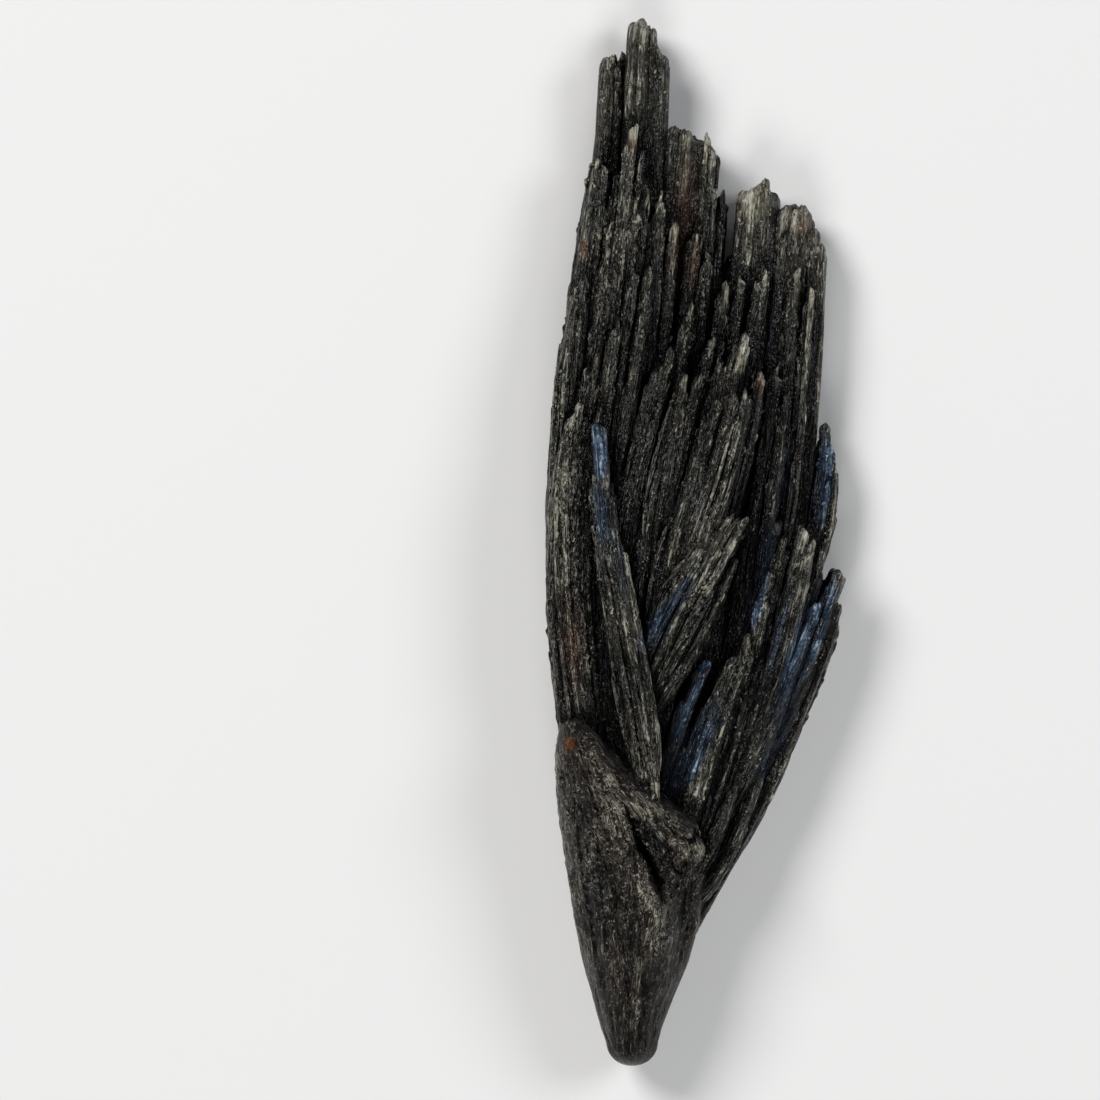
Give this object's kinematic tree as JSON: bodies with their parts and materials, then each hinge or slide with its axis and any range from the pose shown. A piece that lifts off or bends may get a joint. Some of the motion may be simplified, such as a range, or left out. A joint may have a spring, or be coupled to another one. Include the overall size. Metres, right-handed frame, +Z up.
{
  "type": "black kyanite fan crystal aggregate",
  "caption": "Natural black kyanite fan lying on its back: striated blades spread in stepped layers from a rounded root to ragged tips.",
  "frame": {"origin": "centre of the bounding box in plan, on the surface the fan lies on", "axes": "+Y from the root towards the tallest blade tips, +X to the right seen from the front, +Z up out of the front face"},
  "size_m": [0.0285, 0.1001, 0.0148],
  "materials": {
    "black_kyanite": "charcoal, satin with silvery-grey flecks along the striations and blue-grey sheen on some blades"
  },
  "bodies": {
    "root": {"kyanite_fan": "black_kyanite"}
  },
  "joints": []
}
